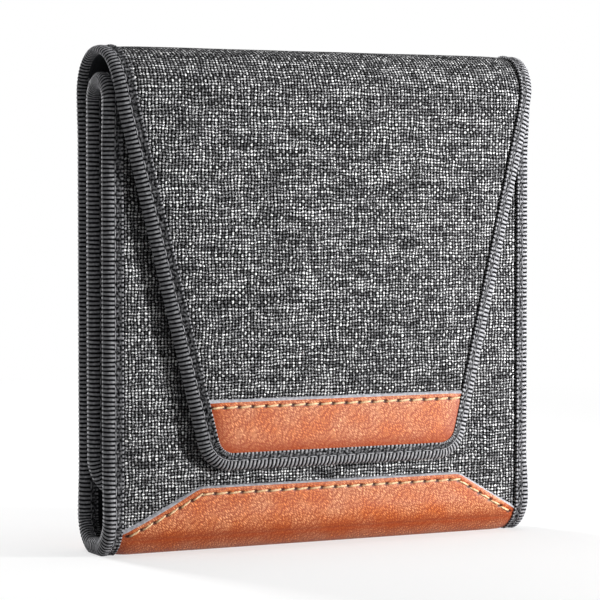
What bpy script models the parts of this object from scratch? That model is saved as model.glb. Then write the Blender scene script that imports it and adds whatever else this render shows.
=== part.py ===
# A three-panel folding wallet for camera lens filters, standing upright, closed.
# One long strip of bound cloth makes the case: the flap comes over the roof fold
# to the back panel, the base fold leads to the front panel, and the small arch
# inside leads to the inner panel, which hangs between back and front.
# Metres, +Z up, -Y to the front, origin at the middle of the footprint.

import math

import bmesh
import bpy
from mathutils import Vector

# Overall size
CASE_HEIGHT = 0.142
CASE_WIDTH = 0.137

# Layers of the strip, from the outside in
CLOTH = 0.00065
BOARD = 0.0006
INTERLINING = 0.0004
LINING = 0.00045
POCKET_CLOTH = 0.0005
TAPE = 0.0006
LEATHER = 0.0006
SEWN_GAP = 0.00025
SEAM_GAP = 0.0003

# Pockets, each deep enough for one slim filter
POCKET_GAP = 0.0042
PANEL_CLEARANCE = 0.00035
POCKET_EDGE_INSET = 0.0032
POCKET_SEAM = 0.0028
POCKET_SIDE_SLOPE = 0.007
POCKET_FOOT_SLOPE = 0.010
POCKET_MOUTH_SET = 0.0065
BACK_POCKET_LIFT = 0.0035
FRONT_POCKET_DROP = 0.0042

# Binding tape that is folded over every edge
TAPE_FACE = 0.0051
RIM_ROUND = 0.0015
CORE_INSET = 0.0013
BOARD_INSET = 0.0008

# Folds
FLAP_LEAD = 0.0044
INNER_DROP = 0.0078
BASE_FLAT = 0.0008

# Outline of the flap and of the inner panel
FLAP_FOOT_Z = 0.0232
FLAP_SHOULDER = 0.0017
FLAP_FOOT_HALF = 0.0411
FLAP_DRIFT = 0.0012
FLAP_CORNER = 0.010
INNER_FOOT_Z = 0.014
INNER_CORNER = 0.013

# Leather patch on the flap, and the leather band that wraps the base
PATCH_HEIGHT = 0.0147
EDGE_STRIP = 0.00095
BAND_STRIP = 0.00055
EDGE_STRIP_THICK = 0.0005
BAND_RISE = 0.008
BAND_END_DROP = 0.0035
BAND_BEND_LEFT = 0.0402
BAND_BEND_RIGHT = 0.0437
BACK_BAND_RISE = 0.008

# Hook and loop pads of the closure
HOOK_PAD = (0.058, 0.0138)
LOOP_PAD = (0.064, 0.0158)
PAD_THICK = 0.0008
PAD_Z = 0.036

# Hinge lines of the three folds, as heights over the folds' outer faces
FLAP_HINGE_RISE = 0.002
FRONT_HINGE_RISE = 0.0015
INNER_HINGE_DROP = 0.0015

# Facets
CREASE = math.radians(50)
FOLD_STEPS = 16
CORNER_STEPS = 8
RIM_STEPS = 6
SLOPE_STEPS = 4

# Layers and folds worked out from the sizes above
PROUD = TAPE + SEWN_GAP
PANEL_CORE = CLOTH + BOARD + LINING + 2 * SEWN_GAP
FLAP_CORE = CLOTH + INTERLINING + LINING + 2 * SEWN_GAP
RIM = PANEL_CORE + SEWN_GAP + POCKET_CLOTH + 2 * PROUD
FLAP_RIM = FLAP_CORE + 2 * PROUD
POCKET_STACK = POCKET_GAP + POCKET_CLOTH
FOLD_DEPTH = 3 * (PANEL_CORE + POCKET_STACK) + 2 * PANEL_CLEARANCE + 2 * PROUD
CASE_DEPTH = FOLD_DEPTH + FLAP_LEAD
HALF_WIDTH = CASE_WIDTH / 2
CORE_HALF = HALF_WIDTH - CORE_INSET
FLAP_TOP_HALF = HALF_WIDTH - FLAP_SHOULDER
BACK_Y = CASE_DEPTH / 2
FLAP_Y = -BACK_Y
FRONT_Y = BACK_Y - FOLD_DEPTH
INNER_Y = BACK_Y - PANEL_CORE - POCKET_STACK - PANEL_CLEARANCE

ROOF_RADIUS = BACK_Y
ROOF_Z = CASE_HEIGHT - ROOF_RADIUS
BASE_RADIUS = FOLD_DEPTH / 2
BASE_Y = BACK_Y - BASE_RADIUS
BASE_Z = BASE_RADIUS - BASE_FLAT
ARCH_RADIUS = (INNER_Y - FRONT_Y) / 2
ARCH_Y = INNER_Y - ARCH_RADIUS
ARCH_Z = CASE_HEIGHT - INNER_DROP - ARCH_RADIUS

FLAP_HINGE = Vector((0, 0, CASE_HEIGHT + FLAP_HINGE_RISE))
FRONT_HINGE = Vector((0, BASE_Y, FRONT_HINGE_RISE))
INNER_HINGE = Vector((0, ARCH_Y, CASE_HEIGHT - INNER_DROP - INNER_HINGE_DROP))

ACROSS = Vector((1, 0, 0))


def clear_scene():
    for obj in list(bpy.data.objects):
        bpy.data.objects.remove(obj)


def finish(name, hex_colour, roughness):
    """A plain material: sRGB hex colour turned to linear, and roughness."""
    channels = [int(hex_colour[i:i + 2], 16) / 255 for i in (1, 3, 5)]
    linear = [c / 12.92 if c <= 0.04045 else ((c + 0.055) / 1.055) ** 2.4 for c in channels]
    material = bpy.data.materials.new(name)
    material.use_nodes = True
    shader = material.node_tree.nodes["Principled BSDF"]
    shader.inputs["Base Color"].default_value = (*linear, 1)
    shader.inputs["Roughness"].default_value = roughness
    return material


def place_of(pivot):
    """Where a pivot stands in the scene: its own location and those of its parents, added up."""
    place = Vector()
    while pivot:
        place += pivot.location
        pivot = pivot.parent
    return place


def add_pivot(name, place, parent=None):
    """An empty on a hinge line, which carries the pieces that turn about it."""
    pivot = bpy.data.objects.new(name, None)
    pivot.empty_display_size = TAPE_FACE
    pivot.location = place - place_of(parent)
    pivot.parent = parent
    bpy.context.scene.collection.objects.link(pivot)
    return pivot


def add_piece(name, rings, look, pivot=None):
    """One closed solid through a row of rings, each a closed polygon with as many points."""
    origin = place_of(pivot)
    mesh = bmesh.new()
    rows = [[mesh.verts.new(point - origin) for point in ring] for ring in rings]
    for row, following in zip(rows, rows[1:]):
        for i in range(len(row)):
            j = (i + 1) % len(row)
            mesh.faces.new((row[i], row[j], following[j], following[i]))
    mesh.faces.new(rows[0])
    mesh.faces.new(rows[-1])
    bmesh.ops.recalc_face_normals(mesh, faces=mesh.faces)
    data = bpy.data.meshes.new(name)
    mesh.to_mesh(data)
    mesh.free()
    data.shade_smooth()
    data.set_sharp_from_angle(angle=CREASE)
    data.materials.append(finish(name + "_finish", *look))
    piece = bpy.data.objects.new(name, data)
    piece.parent = pivot
    bpy.context.scene.collection.objects.link(piece)
    return piece


def carry(section, stations):
    """Rings of a flat section, carried along stations of (origin, u, v)."""
    return [[o + u * s + v * d for s, d in section] for o, u, v in stations]


def slab(outline, y_outer, y_inner):
    """Rings of an outline in X and Z between two faces."""
    return [[Vector((x, y, z)) for x, z in outline] for y in (y_outer, y_inner)]


def smooth(t):
    return t * t * (3 - 2 * t)


def rim_section(thick, face):
    """Section of tape folded over an edge: (distance in from the rim, depth from the outer face).

    The fold is half an ellipse outside, and the same half ellipse set in by the tape.
    """
    half = thick / 2
    angles = [math.pi * i / RIM_STEPS - math.pi / 2 for i in range(RIM_STEPS + 1)]
    outer = [(RIM_ROUND * (1 - math.cos(a)), half + half * math.sin(a)) for a in angles]
    inner_half = half - TAPE
    inner_round = max(RIM_ROUND - TAPE, TAPE)
    inner = [
        (TAPE + inner_round * (1 - math.cos(a)), half + inner_half * math.sin(a)) for a in angles
    ]
    inner_edge = [(face, thick), (face, thick - TAPE)]
    return [(face, 0)] + outer + inner_edge + inner[::-1] + [(face, TAPE)]


def arc_path(y, z, radius, start, stop):
    """Points in Y and Z on an arc, each with the unit direction in towards its centre."""
    path = []
    for i in range(FOLD_STEPS + 1):
        a = start + (stop - start) * i / FOLD_STEPS
        path.append((y + radius * math.cos(a), z + radius * math.sin(a), -math.cos(a), -math.sin(a)))
    return path


def base_path():
    """The base fold, from the back under to the front: an arc, a flat to stand on, an arc."""
    seam = SEAM_GAP / 2 / BASE_RADIUS
    flat = math.asin(BASE_Z / BASE_RADIUS)
    steps = FOLD_STEPS // 2
    angles = [-seam - (flat - seam) * i / steps for i in range(steps + 1)]
    path = []
    for a in angles:
        path.append((BASE_RADIUS * math.cos(a), BASE_RADIUS * math.sin(a), -math.cos(a), -math.sin(a)))
    y, z, ny, nz = path[-1]
    mitre = 1 + nz
    path[-1] = (y, z, ny / mitre, (nz + 1) / mitre)
    path += [(-y, z, -ny, nz) for y, z, ny, nz in reversed(path)]
    return [(BASE_Y + y, BASE_Z + z, ny, nz) for y, z, ny, nz in path]


def roof_path():
    seam = SEAM_GAP / 2 / ROOF_RADIUS
    return arc_path(0, ROOF_Z, ROOF_RADIUS, seam, math.pi - seam)


def inner_path():
    seam = SEAM_GAP / 2 / ARCH_RADIUS
    return arc_path(ARCH_Y, ARCH_Z, ARCH_RADIUS, math.pi - seam, seam)


def roof_half(share):
    """Half width of the roof fold: full to the apex, then down to the flap's top width."""
    beyond = max(0, 2 * share - 1)
    return HALF_WIDTH + (FLAP_TOP_HALF - HALF_WIDTH) * beyond


def fold_layer(path, halves, inset, depth, thick):
    """A layer of a fold: a band of cloth at a depth under the tape's outer face."""
    rings = []
    for (y, z, ny, nz), half in zip(path, halves):
        wide = half - inset
        corners = ((-wide, depth), (wide, depth), (wide, depth + thick), (-wide, depth + thick))
        rings.append([Vector((x, y + d * ny, z + d * nz)) for x, d in corners])
    return rings


def fold_tape(path, halves, side, thick):
    """Binding tape round one edge of a fold; side is -1 left or 1 right."""
    stations = [
        (Vector((side * half, y, z)), -side * ACROSS, Vector((0, ny, nz)))
        for (y, z, ny, nz), half in zip(path, halves)
    ]
    return carry(rim_section(thick, TAPE_FACE), stations)


def panel_tape(side, y_outer, facing, z_low, z_high):
    """Binding tape up one straight edge of a panel; facing is the way in from its outer face."""
    stations = [
        (Vector((side * HALF_WIDTH, y_outer, z)), -side * ACROSS, Vector((0, facing, 0)))
        for z in (z_low, z_high)
    ]
    return carry(rim_section(RIM, TAPE_FACE), stations)


def rounded_open(points, radius, inset):
    """An open outline of four points, its two middle corners rounded; all of it set in by inset.

    The points run down the left side, along the foot and up the right side.
    """
    corners = [Vector(p) for p in points]
    runs = [(b - a).normalized() for a, b in zip(corners, corners[1:])]
    inward = [Vector((-run.y, run.x)) for run in runs]
    outline = [corners[0] + inward[0] * inset]
    for i in (1, 2):
        turn = runs[i - 1].angle(runs[i])
        reach = radius * math.tan(turn / 2)
        centre = corners[i] - runs[i - 1] * reach + inward[i - 1] * radius
        for k in range(CORNER_STEPS + 1):
            a = turn * k / CORNER_STEPS
            outward = -inward[i - 1] * math.cos(a) + runs[i - 1] * math.sin(a)
            outline.append(centre + outward * (radius - inset))
    outline.append(corners[3] + inward[2] * inset)
    return outline


def level_ends(outline, z):
    """Brings an open outline's two ends to one height, along its sides."""
    first, second = outline[0], outline[1]
    last, before = outline[-1], outline[-2]
    left = second + (first - second) * ((z - second.y) / (first.y - second.y))
    right = before + (last - before) * ((z - before.y) / (last.y - before.y))
    return [left] + outline[1:-1] + [right]


def flap_outline(inset, z_top):
    """The flap: sides that close in downwards, rounded lower corners, its foot a little off centre."""
    points = (
        (-FLAP_TOP_HALF, ROOF_Z),
        (FLAP_DRIFT - FLAP_FOOT_HALF, FLAP_FOOT_Z),
        (FLAP_DRIFT + FLAP_FOOT_HALF, FLAP_FOOT_Z),
        (FLAP_TOP_HALF, ROOF_Z),
    )
    return level_ends(rounded_open(points, FLAP_CORNER, inset), z_top)


def inner_outline(inset, z_top):
    points = (
        (-HALF_WIDTH, ARCH_Z),
        (-HALF_WIDTH, INNER_FOOT_Z),
        (HALF_WIDTH, INNER_FOOT_Z),
        (HALF_WIDTH, ARCH_Z),
    )
    return level_ends(rounded_open(points, INNER_CORNER, inset), z_top)


def outline_tape(outline_at, z_top, y_outer, facing, thick):
    """Binding tape that follows an open outline: left side, foot and right side in one piece."""
    rim = outline_at(0, z_top)
    set_in = outline_at(TAPE_FACE, z_top)
    stations = []
    for edge, inside in zip(rim, set_in):
        u = (inside - edge) / TAPE_FACE
        origin = Vector((edge.x, y_outer, edge.y))
        stations.append((origin, Vector((u.x, 0, u.y)), Vector((0, facing, 0))))
    return carry(rim_section(thick, TAPE_FACE), stations)


def box_outline(half, z_low, z_high):
    return [(-half, z_low), (half, z_low), (half, z_high), (-half, z_high)]


def panel_layers(cloth, board, lining):
    """The layers of a stiff panel from the outside in: name, thickness, inset and finish."""
    return (
        ("shell", CLOTH, 0, cloth),
        ("stiffener", BOARD, BOARD_INSET, board),
        ("lining", LINING, 0, lining),
    )


def add_layers(prefix, layers, outline_at, y_outer, facing, pivot=None):
    """The flat layers between a panel's binding; facing is the way in from its outer face."""
    depth = PROUD
    for name, thick, inset, look in layers:
        near, far = y_outer + facing * depth, y_outer + facing * (depth + thick)
        add_piece(f"{prefix}_{name}", slab(outline_at(inset), near, far), look, pivot)
        depth += thick + SEWN_GAP


def pocket_rings(y_outer, facing, z_seam, z_mouth):
    """A pocket's cloth: sewn down at both sides and at its foot, and standing off the lining between.

    The height over the seam is a smooth step in from each side times one up from the foot.
    """
    upward = 1 if z_mouth > z_seam else -1
    edge = HALF_WIDTH - POCKET_EDGE_INSET
    seam = edge - POCKET_SEAM
    slopes = [i / SLOPE_STEPS for i in range(SLOPE_STEPS + 1)]
    left = [(-edge, 0)] + [(-seam + POCKET_SIDE_SLOPE * t, smooth(t)) for t in slopes]
    across = left + [(-x, h) for x, h in reversed(left)]
    foot = z_seam + upward * POCKET_SEAM
    along = [(z_seam, 0)] + [(foot + upward * POCKET_FOOT_SLOPE * t, smooth(t)) for t in slopes]
    along.append((z_mouth, 1))
    sewn = PROUD + PANEL_CORE + SEWN_GAP
    bulge = POCKET_GAP - SEWN_GAP
    rings = []
    for z, rise in along:
        near = [Vector((x, y_outer + facing * (sewn + bulge * rise * h), z)) for x, h in across]
        far = [point + Vector((0, facing * POCKET_CLOTH, 0)) for point in reversed(near)]
        rings.append(near + far)
    return rings


def band_top():
    """The band's upper edge, unrolled: X, and the way up from the base fold's front end."""
    end = HALF_WIDTH - TAPE_FACE - SEAM_GAP
    return [
        Vector((-end, -BAND_END_DROP)),
        Vector((-BAND_BEND_LEFT, BAND_RISE)),
        Vector((BAND_BEND_RIGHT, BAND_RISE)),
        Vector((end, -BAND_END_DROP)),
    ]


def band_line(inset):
    """The band's upper edge set down by inset, square to each run."""
    points = band_top()
    runs = [(b - a).normalized() for a, b in zip(points, points[1:])]
    down = [Vector((run.y, -run.x)) for run in runs]
    line = [points[0] + down[0] * inset]
    for i in (1, 2):
        line.append(points[i] + (down[i - 1] + down[i]) * (inset / (1 + down[i - 1].dot(down[i]))))
    line.append(points[3] + down[2] * inset)
    return line


def at_height(a, b, height):
    """The point between a and b at a given height."""
    return a + (b - a) * ((height - a.y) / (b.y - a.y))


def add_back(cloth, board, lining, tape, leather):
    low, high = BASE_Z + SEAM_GAP / 2, ROOF_Z - SEAM_GAP / 2
    rise = BASE_Z + BACK_BAND_RISE

    def outline_at(inset):
        return box_outline(CORE_HALF - inset, low + inset, high - inset)

    add_layers("back", panel_layers(cloth, board, lining), outline_at, BACK_Y, -1)
    pocket = pocket_rings(BACK_Y, -1, low + BACK_POCKET_LIFT, high - POCKET_MOUTH_SET)
    add_piece("back_pocket", pocket, lining)
    for side, name in ((-1, "left"), (1, "right")):
        add_piece(f"back_binding_{name}", panel_tape(side, BACK_Y, -1, low, high), tape)
    end = HALF_WIDTH - TAPE_FACE - SEAM_GAP
    face = BACK_Y - PROUD + SEWN_GAP
    add_piece("back_band", slab(box_outline(end, low, rise), face + LEATHER, face), leather)


def add_roof(cloth, lining, tape):
    path = roof_path()
    halves = [roof_half(i / FOLD_STEPS) for i in range(len(path))]
    add_piece("top_fold_cloth", fold_layer(path, halves, CORE_INSET, PROUD, CLOTH), cloth)
    depth = PROUD + FLAP_CORE - LINING
    add_piece("top_fold_lining", fold_layer(path, halves, CORE_INSET, depth, LINING), lining)
    for side, name in ((-1, "left"), (1, "right")):
        add_piece(f"top_fold_binding_{name}", fold_tape(path, halves, side, FLAP_RIM), tape)


def add_base(cloth, lining, tape, leather):
    path = base_path()
    halves = [HALF_WIDTH] * len(path)
    add_piece("bottom_fold_cloth", fold_layer(path, halves, CORE_INSET, PROUD, CLOTH), cloth)
    depth = PROUD + PANEL_CORE - LINING
    add_piece("bottom_fold_lining", fold_layer(path, halves, CORE_INSET, depth, LINING), lining)
    for side, name in ((-1, "left"), (1, "right")):
        add_piece(f"bottom_fold_binding_{name}", fold_tape(path, halves, side, RIM), tape)
    add_piece("base_wrap", wrap_rings(path), leather)


def wrap_rings(path):
    """The leather under the base, its front corners cut on the band's slanting ends."""
    line = band_line(BAND_STRIP + SEAM_GAP)
    rings = []
    for y, z, ny, nz in path:
        drop = BASE_RADIUS * math.asin(min(1, (BASE_Z - z) / BASE_RADIUS))
        left, right = line[0].x, line[3].x
        if y < BASE_Y and drop < -line[0].y:
            left = at_height(line[0], line[1], -drop).x
            right = at_height(line[3], line[2], -drop).x
        outer, inner = PROUD - SEWN_GAP - LEATHER, PROUD - SEWN_GAP
        corners = ((left, outer), (right, outer), (right, inner), (left, inner))
        rings.append([Vector((x, y + d * ny, z + d * nz)) for x, d in corners])
    return rings


def add_flap(cloth, board, lining, tape, leather, edge, hook, pivot):
    top = ROOF_Z - SEAM_GAP / 2

    def outline_at(inset):
        return flap_outline(CORE_INSET + inset, top - inset)

    layers = (
        ("shell", CLOTH, 0, cloth),
        ("interlining", INTERLINING, BOARD_INSET, board),
        ("lining", LINING, 0, lining),
    )
    add_layers("flap", layers, outline_at, FLAP_Y, 1, pivot)
    tape_rings = outline_tape(flap_outline, top, FLAP_Y, 1, FLAP_RIM)
    add_piece("flap_binding", tape_rings, tape, pivot)

    face = FLAP_Y + PROUD - SEWN_GAP
    inset = TAPE_FACE + SEAM_GAP
    patch_top = FLAP_FOOT_Z + inset + PATCH_HEIGHT
    leather_top = patch_top - EDGE_STRIP - SEAM_GAP
    patch = slab(flap_outline(inset, leather_top), face - LEATHER, face)
    add_piece("flap_patch", patch, leather, pivot)
    low = flap_outline(inset, patch_top - EDGE_STRIP)
    high = flap_outline(inset, patch_top)
    strip = [low[0], low[-1], high[-1], high[0]]
    add_piece("flap_patch_edge", slab(strip, face - EDGE_STRIP_THICK, face), edge, pivot)

    back = FLAP_Y + PROUD + FLAP_CORE + SEWN_GAP
    wide, high = HOOK_PAD
    outline = box_outline(wide / 2, PAD_Z - high / 2, PAD_Z + high / 2)
    add_piece("hook_pad", slab(outline, back, back + PAD_THICK), hook, pivot)


def add_front(cloth, board, lining, tape, leather, edge, loop, pivot):
    low, high = BASE_Z + SEAM_GAP / 2, ARCH_Z - SEAM_GAP / 2

    def outline_at(inset):
        return box_outline(CORE_HALF - inset, low + inset, high - inset)

    add_layers("front", panel_layers(cloth, board, lining), outline_at, FRONT_Y, 1, pivot)
    pocket = pocket_rings(FRONT_Y, 1, high - FRONT_POCKET_DROP, low + POCKET_MOUTH_SET)
    add_piece("front_pocket", pocket, lining, pivot)
    for side, name in ((-1, "left"), (1, "right")):
        rings = panel_tape(side, FRONT_Y, 1, low, high)
        add_piece(f"front_binding_{name}", rings, tape, pivot)

    face = FRONT_Y + PROUD - SEWN_GAP
    foot = SEAM_GAP / 2
    leather_line = cut_at_foot(band_line(BAND_STRIP + SEAM_GAP), foot)
    outline = [(p.x, BASE_Z + p.y) for p in leather_line]
    add_piece("base_band", slab(outline, face - LEATHER, face), leather, pivot)
    above = cut_at_foot(band_line(0), foot)
    below = cut_at_foot(band_line(BAND_STRIP), foot)
    outline = [(p.x, BASE_Z + p.y) for p in above + below[::-1]]
    add_piece("base_band_edge", slab(outline, face - EDGE_STRIP_THICK, face), edge, pivot)

    wide, tall = LOOP_PAD
    outline = box_outline(wide / 2, PAD_Z - tall / 2, PAD_Z + tall / 2)
    add_piece("loop_pad", slab(outline, face - PAD_THICK, face), loop, pivot)


def cut_at_foot(line, foot):
    """The band's upper edge on the flat panel only: its ends are cut at the base fold."""
    return [at_height(line[0], line[1], foot), line[1], line[2], at_height(line[3], line[2], foot)]


def add_arch(cloth, lining, tape, pivot):
    path = inner_path()
    halves = [HALF_WIDTH] * len(path)
    depth = PROUD + PANEL_CORE - LINING
    cloth_rings = fold_layer(path, halves, CORE_INSET, PROUD, CLOTH)
    lining_rings = fold_layer(path, halves, CORE_INSET, depth, LINING)
    add_piece("inner_fold_cloth", cloth_rings, cloth, pivot)
    add_piece("inner_fold_lining", lining_rings, lining, pivot)
    for side, name in ((-1, "left"), (1, "right")):
        rings = fold_tape(path, halves, side, RIM)
        add_piece(f"inner_fold_binding_{name}", rings, tape, pivot)


def inner_seam():
    """Height of the inner pocket's foot: over the tape, and where its corners clear the rounded rim."""
    room = INNER_CORNER - CORE_INSET - SEAM_GAP
    reach = INNER_CORNER - POCKET_EDGE_INSET
    clear = INNER_CORNER - math.sqrt(max(0, room * room - reach * reach))
    return INNER_FOOT_Z + max(clear, TAPE_FACE + SEAM_GAP)


def add_inner(cloth, board, lining, tape, pivot):
    top = ARCH_Z - SEAM_GAP / 2

    def outline_at(inset):
        return inner_outline(CORE_INSET + inset, top - inset)

    add_layers("inner", panel_layers(cloth, board, lining), outline_at, INNER_Y, -1, pivot)
    pocket = pocket_rings(INNER_Y, -1, inner_seam(), top - POCKET_MOUTH_SET)
    add_piece("inner_pocket", pocket, lining, pivot)
    add_piece("inner_binding", outline_tape(inner_outline, top, INNER_Y, -1, RIM), tape, pivot)


def build():
    clear_scene()
    cloth = ("#5E5F62", 0.9)
    board = ("#2B2C2E", 0.8)
    lining = ("#26272A", 0.75)
    tape = ("#55565A", 0.8)
    leather = ("#C4683A", 0.5)
    edge = ("#A9A9B0", 0.55)
    hook = ("#1C1D20", 0.7)
    loop = ("#2A2B2F", 0.95)
    flap_hinge = add_pivot("flap_hinge", FLAP_HINGE)
    front_hinge = add_pivot("front_hinge", FRONT_HINGE)
    inner_hinge = add_pivot("inner_hinge", INNER_HINGE, front_hinge)
    add_back(cloth, board, lining, tape, leather)
    add_roof(cloth, lining, tape)
    add_base(cloth, lining, tape, leather)
    add_flap(cloth, board, lining, tape, leather, edge, hook, flap_hinge)
    add_front(cloth, board, lining, tape, leather, edge, loop, front_hinge)
    add_arch(cloth, lining, tape, front_hinge)
    add_inner(cloth, board, lining, tape, inner_hinge)


build()
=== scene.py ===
# Looks of a folding case for camera lens filters: heather canvas bound in grosgrain, with tan leather.
# The case is one long strip of cloth. A place on it is x across, s along the strip from the foot of
# the inner panel to the foot of the flap, and depth in from the face of the binding, in millimetres.

import math

import bpy
import numpy as np
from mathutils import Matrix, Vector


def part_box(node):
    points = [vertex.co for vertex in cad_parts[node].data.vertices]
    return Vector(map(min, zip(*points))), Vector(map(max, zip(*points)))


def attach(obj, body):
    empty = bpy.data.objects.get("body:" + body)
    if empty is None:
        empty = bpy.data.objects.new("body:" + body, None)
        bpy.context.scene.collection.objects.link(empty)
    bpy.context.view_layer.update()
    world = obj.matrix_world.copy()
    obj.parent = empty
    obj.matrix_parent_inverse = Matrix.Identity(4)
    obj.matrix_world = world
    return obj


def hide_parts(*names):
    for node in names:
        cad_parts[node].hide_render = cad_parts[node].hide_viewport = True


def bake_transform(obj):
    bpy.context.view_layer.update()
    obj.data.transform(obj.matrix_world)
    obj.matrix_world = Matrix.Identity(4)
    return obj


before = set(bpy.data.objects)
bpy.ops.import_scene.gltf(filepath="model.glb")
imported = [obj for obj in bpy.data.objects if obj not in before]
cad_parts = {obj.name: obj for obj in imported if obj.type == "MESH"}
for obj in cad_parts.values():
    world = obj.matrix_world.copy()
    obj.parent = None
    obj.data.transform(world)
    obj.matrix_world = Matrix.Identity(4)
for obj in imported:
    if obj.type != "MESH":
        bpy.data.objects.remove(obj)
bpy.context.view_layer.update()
mm = 0.001  # shapes are worked out in millimetres, and Blender's unit is the metre

view = {
    "place": (-333.2, -645.5, 99.7),
    "aim": (-3.38, 1.72, 69.95),
    "lens": 150.7,
    "nearest": 50,
}


def putInScene(name, data):
    thing = bpy.data.objects.new(name, data)
    bpy.context.scene.collection.objects.link(thing)
    return thing


def aimAt(thing, place, aim):
    thing.location = [v * mm for v in place]
    back = thing.location - type(thing.location)([v * mm for v in aim])
    thing.rotation_euler = back.to_track_quat("Z", "Y").to_euler()


def makeCamera():
    camera = putInScene("camera", bpy.data.cameras.new("camera"))
    camera.data.lens = view["lens"]
    camera.data.clip_start = view["nearest"] * mm
    aimAt(camera, view["place"], view["aim"])
    bpy.context.scene.camera = camera


makeCamera()
print("camera ready")


# Colours are written as sRGB hex, and this turns one to the linear values that a shader takes.
def linear(hexColour):
    channels = [int(hexColour[i:i + 2], 16) / 255 for i in (1, 3, 5)]
    return [c / 12.92 if c <= 0.04045 else ((c + 0.055) / 1.055) ** 2.4 for c in channels] + [1]


# The setting that the second word of a node's kind gives.
mainSetting = {
    "Attribute": "attribute_name",
    "MapRange": "interpolation_type",
    "Math": "operation",
    "Mix": "data_type",
    "TexNoise": "noise_dimensions",
    "TexVoronoi": "voronoi_dimensions",
    "UVMap": "uv_map",
    "VectorMath": "operation",
}


# Gives a socket a number, a hex colour, or a link from a socket or a node's first output in use.
def feed(tree, socket, value):
    if isinstance(value, bpy.types.Node):
        value = next(output for output in value.outputs if output.enabled)
    if isinstance(value, bpy.types.NodeSocket):
        tree.links.new(value, socket)
    else:
        socket.default_value = linear(value) if isinstance(value, str) else value


# Gives the function that adds a node to this tree. A node's inputs come in order, or in a
# dictionary by name or number. Settings are the node's own properties, and stops are a colour ramp's
# places with their colours.
def nodesOf(tree):
    def add(kind, *inputs, stops=(), **settings):
        kind, _, mainValue = kind.partition(" ")
        node = tree.nodes.new("ShaderNode" + kind)
        if mainValue:
            settings[mainSetting[kind]] = mainValue
        for key, value in settings.items():
            setattr(node, key, value)
        for number, (place, colour) in enumerate(stops):
            elements = node.color_ramp.elements
            element = elements[number] if number < 2 else elements.new(1)
            element.position, element.color = place, linear(colour)
        if not inputs or not isinstance(inputs[0], dict):
            inputs = [dict(enumerate(inputs))]
        for key, value in inputs[0].items():
            feed(tree, node.inputs[key], value)
        return node

    return add


def newFinish(name, roughness, specular=0.5):
    material = bpy.data.materials.new(name)
    material.use_nodes = True
    shader = material.node_tree.nodes["Principled BSDF"]
    shader.inputs["Roughness"].default_value = roughness
    shader.inputs["Specular IOR Level"].default_value = specular
    return material, nodesOf(material.node_tree)


# Joins a finish's colour to its shader, and its relief as a bump, with the relief's depth in mm.
def joinFinish(material, colour, height, strength, depth):
    tree = material.node_tree
    inputs = tree.nodes["Principled BSDF"].inputs
    feed(tree, inputs["Base Color"], colour)
    feed(tree, inputs["Normal"], nodesOf(tree)("Bump", {
        "Height": height, "Strength": strength, "Distance": depth * mm}))
    return material


weave = {
    "drift": 1 / 7,
    "crown": 1.2,
    "lowered": (-0.2, -0.35),
    "overUnder": (1.4, -1.7),
    "apart": 17.31,
    "plane": (3.7, 8.7),
}


# Plain weave: warp threads run along the strip and weft threads across it. A thread's height is a
# sine across it, plus a sine along it where it goes over and less that where it goes under, and the
# weft lies a little lower. The higher thread is seen. Gives that height, 1 where it is the warp, and
# the tones of both yarns, which change along each thread by a noise that is read far away for its
# neighbour.
def weaveThreads(add, values):
    place = add("UVMap unrolled")
    drift = add("TexNoise 2D", {"Vector": place, "Scale": weave["drift"], "Detail": 3.0})
    centred = add("VectorMath SUBTRACT", drift.outputs["Color"], (0.5, 0.5, 0.5))
    moved = add("VectorMath MULTIPLY_ADD", centred, (values["wander"],) * 2 + (0,), place)
    perThread = [1 / pitch for pitch in values["pitches"]] + [0]
    threads = add("VectorMath MULTIPLY", moved, perThread)
    cell = add("SeparateXYZ", add("VectorMath FLOOR", threads))
    inside = add("SeparateXYZ", add("VectorMath FRACTION", threads))
    count = add("SeparateXYZ", threads)
    both = add("Math ADD", cell.outputs[0], cell.outputs[1])
    parity = add("Math FLOORED_MODULO", both, 2.0)
    upper = add("Math SUBTRACT", parity, 0.5)
    arches, tones, yarns = [], [], []
    for axis in (0, 1):
        turn = add("Math MULTIPLY", inside.outputs[axis], math.pi)
        arches.append(add("Math SINE", turn))
        apart = add("Math MULTIPLY", cell.outputs[axis], weave["apart"])
        along = add("Math MULTIPLY", count.outputs[1 - axis], values["slubs"][axis])
        where = add("CombineXYZ", apart, along, weave["plane"][axis])
        tones.append(add("TexNoise 3D", {"Vector": where, "Scale": 1.0, "Detail": 1.0,
                                         "Roughness": 0.6}))
    for axis in (0, 1):
        crown = add("Math MULTIPLY_ADD", arches[axis], weave["crown"], weave["lowered"][axis])
        wave = add("Math MULTIPLY", upper, arches[1 - axis])
        yarns.append(add("Math MULTIPLY_ADD", wave, weave["overUnder"][axis], crown))
    height = add("Math MAXIMUM", *yarns)
    return place, height, add("Math GREATER_THAN", *yarns), tones


canvasFinish = {
    "pitches": (1.0, 0.877),
    "wander": 1.3,
    "slubs": (0.3, 0.12),
    "yarns": (((0.32, "#545456"), (0.50, "#8A8A8C"), (0.62, "#C4C4C6"), (0.72, "#FFFFFF")),
              ((0.34, "#404041"), (0.50, "#767678"), (0.60, "#B8B8BA"), (0.68, "#FFFFFF"))),
    "fibre": 2.8,
    "fibreTone": 0.8,
    "fray": 1.0,
    "heightShade": (1.33, 2.0),
    "relief": 0.2,
    # Painted shade beside the binding: its darkest level, and its reach in mm.
    "bindingShadeLevel": 0.4,
    "bindingShadeReach": 0.7,
}
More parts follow.
